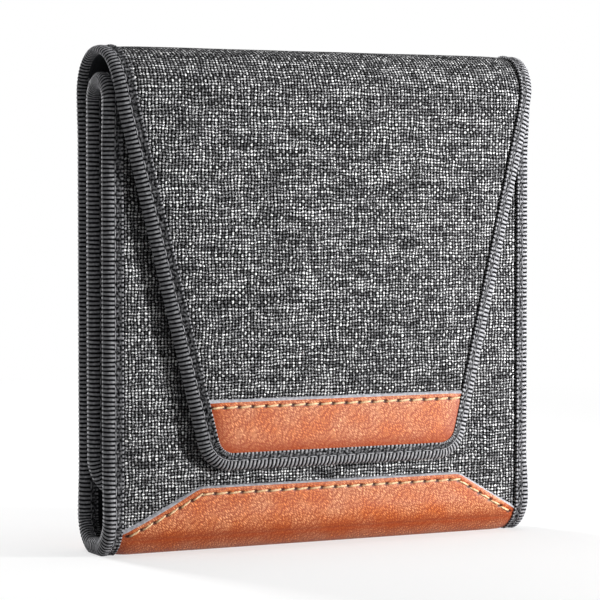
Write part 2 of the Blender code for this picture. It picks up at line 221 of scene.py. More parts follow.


# Heather canvas, plain woven in polyester: matt, with black, grey and white fibres spun together, so
# each yarn goes light and dark along its length. Its colour carries painted shade: each thread is
# darkened where it lies low, so the spaces between the yarns are painted near black, and the canvas
# beside the binding is painted darker. The warp threads lie a millimetre apart, and the weft threads a
# little closer.
def makeCanvasFinish():
    material, add = newFinish("heatherCanvasPlainWoven", 0.95, specular=0.02)
    values = canvasFinish
    place, height, warpSeen, tones = weaveThreads(add, values)
    fibre = add("TexNoise 2D", {"Vector": place, "Scale": values["fibre"], "Detail": 2.0})
    spun = add("Math MULTIPLY_ADD", fibre, values["fibreTone"], -values["fibreTone"] / 2)
    warp, weft = [add("ValToRGB", add("Math ADD", tone, spun), stops=stops)
                  for tone, stops in zip(tones, values["yarns"])]
    yarn = add("Mix RGBA", {0: warpSeen, 6: weft, 7: warp})
    # Painted shade: the colour darkens with the threads' height, broken up by the fibre noise.
    frayed = add("Math MULTIPLY_ADD", fibre, values["fray"], height)
    shade = add("MapRange", frayed, *values["heightShade"])
    # Painted shade beside the binding: darkest at its edge and gone past the reach.
    edge = add("Attribute edge")
    shadeBesideBinding = add("MapRange", edge.outputs["Fac"], 0.0, values["bindingShadeReach"], values["bindingShadeLevel"])
    shown = add("Math MULTIPLY", shade, shadeBesideBinding)
    colour = add("Mix RGBA", {0: 1.0, 6: yarn, 7: shown}, blend_type="MULTIPLY")
    return joinFinish(material, colour, height, 0.8, values["relief"])


liningFinish = {
    "pitches": (0.42, 0.42),
    "wander": 0.3,
    "slubs": (0.08, 0.08),
    "yarns": ((0.35, "#202124"), (0.65, "#34363A")),
    "gapShade": 0.5,
    "relief": 0.08,
}


# Nylon lining, plain woven and pressed flat: dark, close and a little shiny. Its threads are a third of
# a millimetre apart, and are drawn somewhat coarser so that they show. Its colour carries painted
# shade: each thread is darker where it lies low.
def makeLiningFinish():
    material, add = newFinish("nylonLiningPlainWoven", 0.7, specular=0.2)
    _, height, warpSeen, tones = weaveThreads(add, liningFinish)
    tone = add("Mix FLOAT", {0: warpSeen, 2: tones[1], 3: tones[0]})
    yarn = add("ValToRGB", tone, stops=liningFinish["yarns"])
    shade = add("MapRange", height, 0.0, 1.6, liningFinish["gapShade"])
    colour = add("Mix RGBA", {0: 1.0, 6: yarn, 7: shade}, blend_type="MULTIPLY")
    return joinFinish(material, colour, height, 0.5, liningFinish["relief"])


grosgrainFinish = {
    # Painted light: the first colour is painted shade between the ribs, the second the painted light on
    # their crowns.
    "groove": "#0C0C0E",
    "rib": "#9C9CA0",
    # Pale fibres, shown only on the lit crowns as painted sheen.
    "fibre": "#D8D8DB",
    "warpPitch": 0.24,
    "seam": 2.9,
    "selvedge": 4.55,
    "ribbed": (0.48, 1.0),
    "mottled": (0.38, 0.66),
    "flatRibs": (0.45, 0.2),
    "sewn": (0.1, 0.4, 0.15),
    "paintedLight": (0.4, 0.8, 0.0, 0.8),
    "relief": 0.07,
}


# Grosgrain tape, woven with fine warp threads over thick ribs: dark grey. Its colour carries painted
# light: the crown of each rib is painted lighter with a painted sheen of pale fibres, the ways between
# the ribs are painted near black as shade, and the seam line is painted darker as shade. Past its seam
# it lies flat, and its ribs are broken up by a mottle, up to the selvedge. UV x is the way in from the
# rim, y counts the ribs.
def makeGrosgrainFinish():
    material, add = newFinish("grosgrainTapeWoven", 0.75, specular=0.03)
    values = grosgrainFinish
    seam, selvedge = values["seam"], values["selvedge"]
    place = add("UVMap unrolled")
    parts = add("SeparateXYZ", place)
    way = parts.outputs[0]
    turn = add("Math MULTIPLY", parts.outputs[1], math.pi)
    crown = add("Math ABSOLUTE", add("Math SINE", turn))
    threadTurn = add("Math MULTIPLY", way, 2 * math.pi / values["warpPitch"])
    threads = add("Math SINE", threadTurn)
    grain = add("TexNoise 2D", {"Vector": place, "Scale": 1.5, "Detail": 3.0})
    # Painted light: lighter on the crown of each rib and darker between them.
    ribbed = add("MapRange", crown, *values["ribbed"])
    mottled = add("MapRange", grain, *values["mottled"])
    pastSeam = add("MapRange", way, seam, seam + 0.2)
    pastFlat = add("MapRange", way, selvedge - 0.1, selvedge + 0.1)
    flat = add("Math SUBTRACT", pastSeam, pastFlat)
    broken = add("Math MULTIPLY_ADD", ribbed, *values["flatRibs"])
    patchy = add("Math MULTIPLY", broken, mottled)
    raised = add("Mix FLOAT", {0: flat, 2: ribbed, 3: patchy})
    # Painted shade along the seam line.
    beside = add("Math ABSOLUTE", add("Math SUBTRACT", way, seam))
    sewn = add("MapRange", beside, *values["sewn"])
    lit = add("Math MULTIPLY", raised, sewn)
    # Painted sheen: pale fibre tone where a noise is high, on the lit crowns only.
    paintedLight = add("Math MULTIPLY_ADD", threads, 0.1, grain)
    sheenMask = add("MapRange", paintedLight, *values["paintedLight"])
    body = add("Mix RGBA", {0: lit, 6: values["groove"], 7: values["rib"]})
    crownSheen = add("Math MULTIPLY", sheenMask, lit)
    colour = add("Mix RGBA", {0: crownSheen, 6: body, 7: values["fibre"]})
    relief = add("Math MULTIPLY_ADD", threads, 0.25, grain)
    return joinFinish(material, colour, relief, 0.5, values["relief"])


leatherFinish = {
    "pale": "#FFB680",
    "tan": "#F4924E",
    "rust": "#8A2A02",
    # Painted shade near the binding and the band's crease.
    "edgeShadeColour": "#8E3000",
    # Painted shade in the stitch holes.
    "pit": "#3A0E00",
    "cloud": 1 / 9,
    "cloudy": (0.36, 0.64),
    "grainWidth": 0.46,
    "grainLength": 3.4,
    "grainTurn": 44,
    "grainBend": 0.6,
    "crease": 0.56,
    "smooth": (0.55, 0.8, 0.0, 0.3),
    # Painted shade near the binding and the crease: its strength, and its reach in mm.
    "edgeShade": 0.66,
    "edgeShadeReach": 5.0,
    "holeShade": (0.25, 0.8, 1.0, 0.0),
    "relief": 0.08,
}


# Tan leather, drum dyed and pressed with a fine slanting grain: satin and cloudy in colour. Painted
# shade darkens it towards the binding and along the band's crease, and paints its stitch holes near
# black. The grain's pebbles are half a millimetre wide and three times as long. The marks edge and hole
# are in mm.
def makeLeatherFinish():
    material, add = newFinish("tanLeatherPressedGrain", 0.5, specular=0.3)
    values = leatherFinish
    place = add("UVMap unrolled")
    cloud = add("TexNoise 2D", {"Vector": place, "Scale": values["cloud"], "Detail": 4.0})
    bend = add("TexNoise 2D", {"Vector": place, "Scale": 0.4, "Detail": 0.0})
    bent = add("VectorMath MULTIPLY_ADD", bend.outputs["Color"], (values["grainBend"],) * 2 + (0,),
               place)
    turned = add("Mapping", {"Vector": bent, "Scale": (values["grainLength"], 1, 1),
                             "Rotation": (0, 0, math.radians(values["grainTurn"]))},
                 vector_type="TEXTURE")
    pebble = add("TexVoronoi 2D", {"Vector": turned, "Scale": 1 / values["grainWidth"]},
                 feature="DISTANCE_TO_EDGE")
    crease = add("MapRange", pebble, 0.0, values["crease"])
    fine = add("TexNoise 2D", {"Vector": place, "Scale": 2.8, "Detail": 3.0})
    tone = add("MapRange", cloud, *values["cloudy"])
    body = add("Mix RGBA", {0: tone, 6: values["tan"], 7: values["pale"]})
    smooth = add("MapRange", bend, *values["smooth"])
    fleck = add("Math MAXIMUM", crease, smooth)
    flecked = add("Mix RGBA", {0: fleck, 6: values["rust"], 7: body})
    edge, hole = [add("Attribute " + mark).outputs["Fac"] for mark in ("edge", "hole")]
    # Painted shade, darkest at the binding or the crease and gone past the reach.
    edgeShade = add("MapRange SMOOTHERSTEP", edge, 0.0, values["edgeShadeReach"], values["edgeShade"], 0.0)
    # Painted shade in the stitch holes.
    holeShade = add("MapRange SMOOTHSTEP", hole, *values["holeShade"])
    darkened = add("Mix RGBA", {0: edgeShade, 6: flecked, 7: values["edgeShadeColour"]})
    colour = add("Mix RGBA", {0: holeShade, 6: darkened, 7: values["pit"]})
    relief = add("Math MULTIPLY_ADD", fine, 0.4, crease)
    return joinFinish(material, colour, relief, 0.4, values["relief"])


# A finish of one colour that a noise makes lighter and darker and a little rough, for small parts.
def makeMottledFinish(name, dark, light, grain, roughness, depth):
    material, add = newFinish(name, roughness)
    place = add("TexCoord").outputs["Object"]
    noise = add("TexNoise 3D", {"Vector": place, "Scale": 1 / (grain * mm), "Detail": 3.0})
    spread = add("MapRange", noise, 0.35, 0.65)
    colour = add("Mix RGBA", {0: spread, 6: dark, 7: light})
    return joinFinish(material, colour, noise, 0.5, depth)


canvasLook = makeCanvasFinish()
liningLook = makeLiningFinish()
grosgrainLook = makeGrosgrainFinish()
leatherLook = makeLeatherFinish()
# Edge paint, rolled on the cut leather: pale grey, smooth and glossy.
edgeLook = makeMottledFinish("edgePaintRolled", "#86868B", "#B2B2B8", 0.9, 0.35, 0.03)
# Waxed polyester thread, twisted from two plies: cream, with a soft shine.
creamThreadLook = makeMottledFinish("creamThreadTwisted", "#C89C68", "#F4D8AE", 0.5, 0.5, 0.03)
# Fine polyester thread, twisted: grey.
greyThreadLook = makeMottledFinish("greyThreadTwisted", "#98989C", "#C4C4C8", 0.3, 0.55, 0.02)
# Dark polyester thread of the pockets' hems and the pads' seams.
darkThreadLook = makeMottledFinish("darkThreadTwisted", "#3A3B3F", "#55565A", 0.3, 0.55, 0.02)
# Hook tape, moulded nylon on a woven ground: black and half glossy.
hookLook = makeMottledFinish("hookTapeMoulded", "#0E0F11", "#232428", 0.6, 0.45, 0.05)
# Loop tape, knitted nylon with a raised nap: dark grey and matt.
loopLook = makeMottledFinish("loopTapeNapped", "#17181A", "#3C3D41", 0.35, 0.95, 0.12)
# Fibre board, pressed: grey-brown and matt, inside the panels.
boardLook = makeMottledFinish("fibreBoardPressed", "#3A3733", "#57524B", 0.8, 0.85, 0.05)
print("finishes ready")


def nodeBox(name):
    low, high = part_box(name)
    return np.array(low) / mm, np.array(high) / mm


backTape, frontTape = nodeBox("back_binding_left"), nodeBox("front_binding_left")
flapTape, innerTape = nodeBox("flap_binding"), nodeBox("inner_binding")
roofTape, archTape = nodeBox("top_fold_binding_left"), nodeBox("inner_fold_binding_left")
baseTape = nodeBox("bottom_fold_binding_left")
halfWidth = -backTape[0][0]
tapeFace = backTape[1][0] - backTape[0][0]
backY, frontY, innerY, flapY = backTape[1][1], frontTape[0][1], innerTape[1][1], flapTape[0][1]
panelRim, flapRim = backY - backTape[0][1], flapTape[1][1] - flapY
roofRadius, archRadius, baseRadius = (backY - flapY) / 2, (innerY - frontY) / 2, (backY - frontY) / 2
roofZ, archZ = roofTape[1][2] - roofRadius, archTape[1][2] - archRadius
baseZ = (backTape[0][2] + baseTape[1][2]) / 2
proud = backY - nodeBox("back_shell")[1][1]


def smoothStep(t):
    t = np.clip(t, 0, 1)
    return t * t * (3 - 2 * t)


# 1 at 0, falling to both sides as a bell of that width.
def bell(distance, width):
    return np.exp(-(distance / width) ** 2)


# From 0, towards 1 as the distance grows past the reach: 1 - exp(-distance / reach).
def rising(distance, reach):
    return 1 - np.exp(-np.maximum(distance, 0) / reach)


# The smallest of some values, rounded off where two of them meet.
def softLeast(values, blend):
    stacked = np.stack(np.broadcast_arrays(*values))
    return -blend * np.log(np.exp(-stacked / blend).sum(0))


def distanceAlong(points):
    return np.concatenate([[0], np.cumsum(np.linalg.norm(np.diff(points, axis=0), axis=1))])


# A direction turned a quarter to its left.
def quarterTurn(direction):
    return np.stack([-direction[..., 1], direction[..., 0]], -1)


# The strip's line in Y and Z: straight panels joined by half circles, the base flattened to stand.
# The way in from its face is a quarter turn from its direction, evened out over a few millimetres.
def makeStrip(step, evenOver):
    def arc(y, z, radius, start, stop):
        turns = np.radians(np.linspace(start, stop, round(radius * math.pi / step)))
        return np.stack([y + radius * np.cos(turns), z + radius * np.sin(turns)], 1)

    def run(y, fromZ, toZ):
        heights = np.linspace(fromZ, toZ, round(abs(toZ - fromZ) / step))
        return np.stack([np.full_like(heights, y), heights], 1)

    base = arc((backY + frontY) / 2, baseZ, baseRadius, 180, 360)
    base[:, 1] = np.maximum(base[:, 1], baseTape[0][2])
    runs = {
        "inner": run(innerY, innerTape[0][2], archZ),
        "arch": arc((innerY + frontY) / 2, archZ, archRadius, 0, 180),
        "front": run(frontY, archZ, baseZ),
        "base": base,
        "back": run(backY, baseZ, roofZ),
        "roof": arc((backY + flapY) / 2, roofZ, roofRadius, 0, 180),
        "flap": run(flapY, roofZ, flapTape[0][2]),
    }
    line = np.concatenate([points[:-1] for points in runs.values()] + [runs["flap"][-1:]])
    s = distanceAlong(line)
    ends = dict(zip(runs, s[np.cumsum([len(points) - 1 for points in runs.values()])]))
    direction = np.gradient(line, s, axis=0)
    width = round(evenOver / step)
    padded = np.pad(direction, ((width, width), (0, 0)), mode="edge")
    even = np.stack([np.convolve(padded[:, k], np.ones(2 * width + 1), "valid") for k in (0, 1)], 1)
    even /= np.linalg.norm(even, axis=1)[:, None]
    return {"s": s, "y": line[:, 0], "z": line[:, 1], "inY": -even[:, 1], "inZ": even[:, 0]}, ends


strip, ends = makeStrip(step=0.2, evenOver=1.6)
frontFoot, backFoot = ends["front"], ends["base"]
roofStart, roofEnd, flapFoot = ends["back"], ends["roof"], ends["flap"]
apex = (roofStart + roofEnd) / 2
hookBox, loopBox = nodeBox("hook_pad"), nodeBox("loop_pad")
loopS = frontFoot - (loopBox[0][2] + loopBox[1][2]) / 2 + baseZ


# Points on the case in millimetres, from their x, s and depth.
def onStrip(x, s, depth):
    x, s, depth = np.broadcast_arrays(x, s, depth)
    y, z, inY, inZ = [np.interp(s, strip["s"], strip[key]) for key in ("y", "z", "inY", "inZ")]
    return np.stack([x, y + depth * inY, z + depth * inZ], -1)


# Binding and boards are thicker in the panels than in the flap, and change over early in the roof.
def byPanel(s, panelValue, flapValue):
    return panelValue + (flapValue - panelValue) * smoothStep((s - roofStart + 4) / 16)


# A line through corners in x and s, each rounded to its radius, with the direction in to its right.
def roundedLine(corners, radii=None, step=0.1):
    corners = np.array(corners, float)
    radii = radii or [0] * len(corners)
    parts = [corners[:1]]
    for before, corner, after, radius in zip(corners, corners[1:], corners[2:], radii[1:]):
        coming, going = corner - before, after - corner
        coming, going = coming / np.linalg.norm(coming), going / np.linalg.norm(going)
        turn = math.atan2(coming[0] * going[1] - coming[1] * going[0], coming @ going)
        reach = radius * abs(math.tan(turn / 2))
        side = quarterTurn(coming) * np.sign(turn)
        centre = corner - coming * reach + side * radius
        turns = np.linspace(0, turn, max(2, round(radius * abs(turn) / step)))[:, None]
        spoke = -side * radius
        parts.append(centre + spoke * np.cos(turns) + quarterTurn(spoke) * np.sin(turns))
    parts.append(corners[-1:])
    return lineThrough(np.concatenate(parts), step)


# Points on a line put evenly a step apart, with the distance along it and the unit way in.
def lineThrough(points, step=0.1):
    rough = distanceAlong(points)
    t = np.linspace(0, rough[-1], max(8, round(rough[-1] / step)))
    even = np.stack([np.interp(t, rough, points[:, k]) for k in (0, 1)], 1)
    direction = np.gradient(even, t, axis=0)
    direction /= np.linalg.norm(direction, axis=1)[:, None]
    return {"t": t, "points": even, "inward": -quarterTurn(direction)}


# Points on a line at distances t, and the unit way in and unit direction there.
def lineAt(line, t):
    point, inward = [np.stack([np.interp(t, line["t"], line[key][:, k]) for k in (0, 1)], -1)
                     for key in ("points", "inward")]
    inward /= np.linalg.norm(inward, axis=-1, keepdims=True)
    return point, inward, quarterTurn(inward)


flapShape = {
    "topHalf": 66.8,
    "footHalf": 41.1,
    "drift": 1.2,
    "corner": 10,
    "shoulderRound": 90,
    "innerCorner": 13,
}


def makeRims():
    shape, wide = flapShape, halfWidth
    left, right = shape["drift"] - shape["footHalf"], shape["drift"] + shape["footHalf"]
    soft, sharp, inner = shape["shoulderRound"], shape["corner"], shape["innerCorner"]
    return {
        "back": roundedLine(
            [(-wide, backFoot), (-wide, apex), (-shape["topHalf"], roofEnd), (left, flapFoot),
             (right, flapFoot), (shape["topHalf"], roofEnd), (wide, apex), (wide, backFoot)],
            [0, soft, soft, sharp, sharp, soft, soft, 0]),
        "front": roundedLine([(wide, frontFoot), (wide, 0), (-wide, 0), (-wide, frontFoot)],
                             [0, inner, inner, 0]),
        "baseLeft": roundedLine([(-wide, frontFoot), (-wide, backFoot)]),
        "baseRight": roundedLine([(wide, backFoot), (wide, frontFoot)]),
    }


rims = makeRims()


# The x of both edges at s, of the rim's outline set in by an inset. Where the foot runs level the
# outermost point counts.
def spanAt(line, inset, s):
    edge = line["points"] + inset * line["inward"]
    sides = []
    for half in np.array_split(edge, 2):
        order = np.lexsort((-np.abs(half[:, 0]), half[:, 1]))
        sides.append(np.interp(s, half[order, 1], half[order, 0]))
    return np.minimum(*sides), np.maximum(*sides)


# How far in from the rim a place is: the least of the ways to both sides and to the foot.
def rimDistance(part, x, s):
    if part == "base":
        return halfWidth - np.abs(x)
    left, right = spanAt(rims[part], 0, s)
    foot = flapFoot - s if part == "back" else s
    return softLeast([x - left, right - x, np.maximum(foot, 0)], 1.5)


swell = {
    "rise": {"back": 0.7, "roof": 0.0, "flap": 0.9, "front": 0.3},
    "pinch": {"back": 1.0, "roof": 0.5, "flap": 1.3, "front": 1.35},
    "fade": 14,
    "padReach": 9,
    "padStretch": 3.2,
}


# The panels are full: their outer face swells and their rim is pinched, so the binding slopes. The
# swelling fades out towards the folds, and the front is flat where the loop pad is pressed on.
def panelShare(s):
    fade = swell["fade"]
    front = smoothStep((s - ends["arch"]) / fade) * smoothStep((frontFoot - s) / fade)
    back = smoothStep((s - backFoot) / fade)
    roof = smoothStep((s - roofStart + fade) / fade)
    flap = smoothStep((s - apex) / (roofEnd - apex + 4))
    return {"front": front, "back": back * (1 - roof), "roof": roof * (1 - flap), "flap": flap}


# Depth of the outer face at x, s and a way in from the rim: pinched at the rim, and rising in a
# straight slope to the swelling at the inner edge of the binding.
def faceDepth(x, s, way):
    across = np.clip(way / tapeFace, 0, 1)
    fromPad = np.hypot(x / swell["padStretch"], s - loopS)
    pressed = smoothStep((fromPad - swell["padReach"]) / swell["padReach"])
    depth = 0
    for panel, share in panelShare(s).items():
        rise = swell["rise"][panel] * (pressed if panel == "front" else 1)
        depth = depth + share * (swell["pinch"][panel] * (1 - across) - rise * across)
    return depth


# Five sine waves in seeded directions, their lengths about the one given, from about -1 to 1.
def ripple(x, s, length, seed):
    random = np.random.default_rng(seed)
    total = 0
    for turn, phase, stretch in random.random((5, 3)):
        across = x * math.cos(turn * math.pi) + s * math.sin(turn * math.pi)
        total = total + np.sin(2 * math.pi * (across / (length * (0.7 + 0.9 * stretch)) + phase))
    return total / 3


# Puts a closed skin in the scene from points in millimetres and sets of faces, each set rows of
# corner numbers. Its faces point out once the volume inside, summed over all faces, is positive.
def addPiece(name, points, faceSets, look, unrolled=None, marks=None, crease=60):
    points = np.asarray(points, float).reshape(-1, 3)
    volume = 0
    for faces in faceSets:
        for k in range(1, faces.shape[1] - 1):
            a, b, c = points[faces[:, 0]], points[faces[:, k]], points[faces[:, k + 1]]
            volume += (a * np.cross(b, c)).sum()
    if volume < 0:
        faceSets = [faces[:, ::-1] for faces in faceSets]
    corners = np.concatenate([faces.ravel() for faces in faceSets]).astype(np.int32)
    sizes = np.concatenate([np.full(len(faces), faces.shape[1]) for faces in faceSets])
    mesh = bpy.data.meshes.new(name)
    mesh.vertices.add(len(points))
    mesh.vertices.foreach_set("co", (points * mm).astype(np.float32).ravel())
    mesh.loops.add(len(corners))
    mesh.loops.foreach_set("vertex_index", corners)
    mesh.polygons.add(len(sizes))
    mesh.polygons.foreach_set("loop_start", (np.cumsum(sizes) - sizes).astype(np.int32))
    mesh.update(calc_edges=True)
    if unrolled is not None:
        flat = np.stack(np.broadcast_arrays(*unrolled), -1).reshape(-1, 2)[corners]
        mesh.uv_layers.new(name="unrolled").data.foreach_set("uv", flat.astype(np.float32).ravel())
    for mark, values in (marks or {}).items():
        layer = mesh.attributes.new(mark, "FLOAT", "POINT")
        layer.data.foreach_set("value", np.asarray(values, np.float32).ravel())
    mesh.shade_smooth()
    mesh.set_sharp_from_angle(angle=math.radians(crease))
    mesh.materials.append(look)
    return putInScene(name, mesh)


# Faces of skins round rows of closed rings, both end rings closed over, for any number of copies.
def ringFaces(rows, count, copies=1):
    ring = np.arange(count)
    following = np.roll(ring, -1)
    row = np.arange(rows - 1)[:, None] * count
    sides = np.stack([row + ring, row + following, row + count + following, row + count + ring], -1)
    start = np.arange(copies)[:, None, None] * rows * count
    sides = (sides.reshape(1, -1, 4) + start).reshape(-1, 4)
    first = ring[None, ::-1] + start[:, 0]
    last = ring[None, :] + start[:, 0] + (rows - 1) * count
    return [sides, np.concatenate([first, last])]


# A skin of cloth or leather between two depths over a grid of x and s, with walls round its border.
def addSkin(name, x, s, outer, inner, look, marks=None):
    def andBack(values):
        return np.concatenate([values, values[:, ::-1]], 1)

    x, s, outer, inner = np.broadcast_arrays(x, s, outer, inner)
    rows, columns = x.shape
    points = np.concatenate([onStrip(x, s, outer), onStrip(x, s, inner)[:, ::-1]], 1)
    marks = {mark: andBack(values) for mark, values in (marks or {}).items()}
    column = np.arange(columns - 1)
    cap = np.stack([column, column + 1, 2 * columns - 2 - column, 2 * columns - 1 - column], -1)
    caps = np.concatenate([cap[:, ::-1], cap + (rows - 1) * 2 * columns])
    return addPiece(name, points, [ringFaces(rows, 2 * columns)[0], caps], look,
                    (andBack(x), andBack(s)), marks)


# A grid over part of the strip: rows at s, and columns between the rim's edges set in by an inset.
def stripGrid(part, inset, fromS, toS, cell):
    s = np.linspace(fromS, toS, round(abs(toS - fromS) / cell) + 1)
    if part == "base":
        left, right = np.full_like(s, inset - halfWidth), np.full_like(s, halfWidth - inset)
    else:
        left, right = spanAt(rims[part], inset, s)
    share = np.linspace(0, 1, round(2 * halfWidth / cell) + 1)
    return left[:, None] + (right - left)[:, None] * share, np.repeat(s[:, None], len(share), 1)


# The parts of the strip that cross a joint: the roof between back and flap, the arch between front and
# inner panel, and the base between back and front, each over the depth of its fold.
folds = {
    "back": ("back_panel", "flap", 9.1, -10.05),
    "front": ("front_panel", "inner_panel", -4.7, 1.85),
    "base": ("back_panel", "front_panel", 9.1, -4.7),
}


# A piece on a part of the strip has its place baked in, and any other piece rides on a body. It stands
# for any nodes named, which are hidden. The slot is not used.
def settle(piece, carrier, slot, *nodes):
    if carrier in folds:
        first, second, start, end = folds[carrier]
        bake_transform(piece)
    else:
        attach(piece, carrier)
    if nodes:
        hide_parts(*nodes)


bandShape = {
    "rise": 8,
    "endDrop": 3.5,
    "bendLeft": -40.2,
    "bendRight": 43.7,
    "cornerBlend": 0.25,
    "backRise": 8,
    "edgeStrip": 0.6,
    "edgeStripEnd": 0.95,
    "edgeStripReach": 10,
}
bandEnd = halfWidth - tapeFace


# Height of the leather band's top edge over the front's foot: level, with a slope down at each end.
def bandHeight(x):
    shape = bandShape
    drop, rise = shape["endDrop"], shape["rise"]
    left = -drop + (x + bandEnd) * (rise + drop) / (bandEnd + shape["bendLeft"])
    right = -drop + (bandEnd - x) * (rise + drop) / (bandEnd - shape["bendRight"])
    return softLeast([left, right, rise], shape["cornerBlend"])


# Width of the band's painted edge: narrow along the top, and spreading down the left slope.
def bandStrip(x):
    shape = bandShape
    down = smoothStep((shape["bendLeft"] - x) / shape["edgeStripReach"])
    return shape["edgeStrip"] + (shape["edgeStripEnd"] - shape["edgeStrip"]) * down


patchTop = flapFoot - (nodeBox("flap_patch_edge")[1][2] - flapTape[0][2])


# 1 where leather or a pad covers the outer canvas and holds it flat, down to 0 beside it.
def covered(x, s, leatherFade=1.5, padFade=2):
    patch = smoothStep((s - patchTop + leatherFade) / leatherFade)
    band = smoothStep((s - frontFoot + bandHeight(x) + leatherFade) / leatherFade)
    band = band * smoothStep((backFoot + bandShape["backRise"] + leatherFade - s) / leatherFade)
    loopHalf = (loopBox[1] - loopBox[0]) / 2
    pad = smoothStep((loopHalf[0] + padFade - np.abs(x)) / padFade)
    pad = pad * smoothStep((loopHalf[2] + padFade - np.abs(s - loopS)) / padFade)
    return np.maximum(np.maximum(patch, band), pad)


# A sheet of cloth is cut to the shape that it covers, and its area is summed by trapezoids.
def declareSheet(x, along):
    width, rows = x[:, -1] - x[:, 0], along[:, 0]
    cut = ((width[:-1] + width[1:]) / 2 * np.abs(np.diff(rows))).sum()
    np.ptp(rows) * mm


canvas = {
    "thick": 0.65,
    "inset": 3.2,
    "crown": {"back": 0.5, "front": 0.2, "base": 0.0},
    "crownReach": 3.0,
    "ripple": 0.05,
    "rippleLength": 24,
    "cell": 1.5,
}


# Outer canvas: sewn down along the binding, and rising from it to a low crown with slight waves.
def canvasFaces(part, x, s):
    way = rimDistance(part, x, s)
    waves = canvas["ripple"] * ripple(x, s, canvas["rippleLength"], 4)
    rise = rising(way - tapeFace, canvas["crownReach"])
    crown = (canvas["crown"][part] + waves) * rise * (1 - covered(x, s))
    depth = proud + faceDepth(x, s, way) - crown
    # The edge mark, the way in from the binding, places the canvas's painted shade beside it.
    return depth, depth + canvas["thick"], canvasLook, {"edge": way - tapeFace}


lining = {
    "thick": 0.4,
    "inset": 2.6,
    "panelDepth": 3.05,
    "flapDepth": 2.85,
    "crown": 0.2,
    "crownReach": 3,
    "ripple": 0.3,
    "rippleLength": 30,
    "cell": 2.0,
}


# Lining: flat on its board, with low waves away from the binding.
def liningFaces(part, x, s):
    face = byPanel(s, lining["panelDepth"], lining["flapDepth"])
    rise = rising(rimDistance(part, x, s) - tapeFace, lining["crownReach"])
    waves = lining["ripple"] * ripple(x, s, lining["rippleLength"], 8)
    face = face + lining["crown"] * rise * (lining["ripple"] + waves)
    return face - lining["thick"], face, liningLook, None


# Lays a cloth over each part of the strip and sews it in under the binding. What it stands for is
# the shell or lining of each panel with the cloth or lining of the fold between them.
def makeCloth(name, style, slot, facesOf, ofPanel, ofFold):
    inset = style["inset"]
    spans = {"back": (backFoot, flapFoot - inset - 0.02, "back_", "top_fold_", "flap_"),
             "front": (inset + 0.02, frontFoot, "front_", "inner_fold_", "inner_"),
             "base": (frontFoot, backFoot, "bottom_fold_")}
    for part, (fromS, toS, *stoodFor) in spans.items():
        x, s = stripGrid(part, inset, fromS, toS, style["cell"])
        outer, inner, look, marks = facesOf(part, x, s)
        piece = addSkin(part + name, x, s, outer, inner, look, marks)
        settle(piece, part, slot, *(node + (ofFold if "fold" in node else ofPanel)
                                    for node in stoodFor))
        declareSheet(x, s)


makeCloth("Canvas", canvas, "heather_cloth", canvasFaces, "shell", "cloth")
print("canvas ready")
makeCloth("Lining", lining, "lining_cloth", liningFaces, "lining", "lining")
print("lining ready")

tape = {
    "cloth": 0.6,
    "rimRound": 1.5,
    "ribPitch": 1.21,
    "ribHeight": 0.22,
    "flangeRibs": 0.25,
    "seamInset": 2.9,
    "seamSink": 0.2,
    "hem": 4.8,
    "edgeSink": 0.12,
    "lean": 0.07,
    "roofThin": 1.0,
    "ribRows": (0, 0.14, 0.36, 0.64, 0.86),
}


# The binding's section, from the edge of its outer flange over the rim to the edge of the inner one:
# the way in from the rim, the depth as a share of the rim's thickness plus an offset, the share of
# the ribs' height, and the outward direction. The faces sink at the seam and at their edges; the rim
# between them is half an ellipse.
def tapeSection():
    inset, seam, edgeSink = tapeFace, tape["seamInset"], tape["edgeSink"]
    way = np.array([inset, inset, 5.0, 4.8, 4.55, 4.3, 3.7, seam + 0.3, seam, seam - 0.2, 2.3, 1.9,
                    1.6])
    hem = bell(way - tape["hem"], 0.2)
    sink = tape["seamSink"] * bell(way - seam, 0.25)
    sink += edgeSink * smoothStep((way - seam) / 0.4)
    sink -= edgeSink * hem
    sink[:2] = tape["cloth"], 0.25
    ribs = 1 - (1 - tape["flangeRibs"]) * smoothStep((way - seam + 0.3) / 0.3)
    ribs += (1 - tape["flangeRibs"]) * hem
    ribs[0] = 0
    turns = np.radians([-66, -40, -14, 14, 40, 66])
    flat, level = np.zeros_like(way), np.zeros_like(turns)
    outer = np.array([way, flat, sink, ribs, flat, flat - 1])
    rim = np.array([tape["rimRound"] * (1 - np.cos(turns)), 0.5 + 0.5 * np.sin(turns), level,
                    level + 1, -np.cos(turns), np.sin(turns)])
    inner = np.array([way, flat + 1, -sink, ribs, flat, flat + 1])[:, ::-1]
    hidden = np.array([(2.2, 1, -tape["cloth"], 0, 0, 0), (2.2, 0, tape["cloth"], 0, 0, 0)]).T
    return dict(zip(("way", "share", "offset", "ribs", "outWay", "outDepth"),
                    np.concatenate([outer, rim, inner, hidden], 1)))


# Depth of the binding's inner face: the rim's thickness, less a little where it is drawn thin round
# the roof.
def tapeDepth(s):
    return byPanel(s, panelRim, flapRim) - tape["roofThin"] * panelShare(s)["roof"]


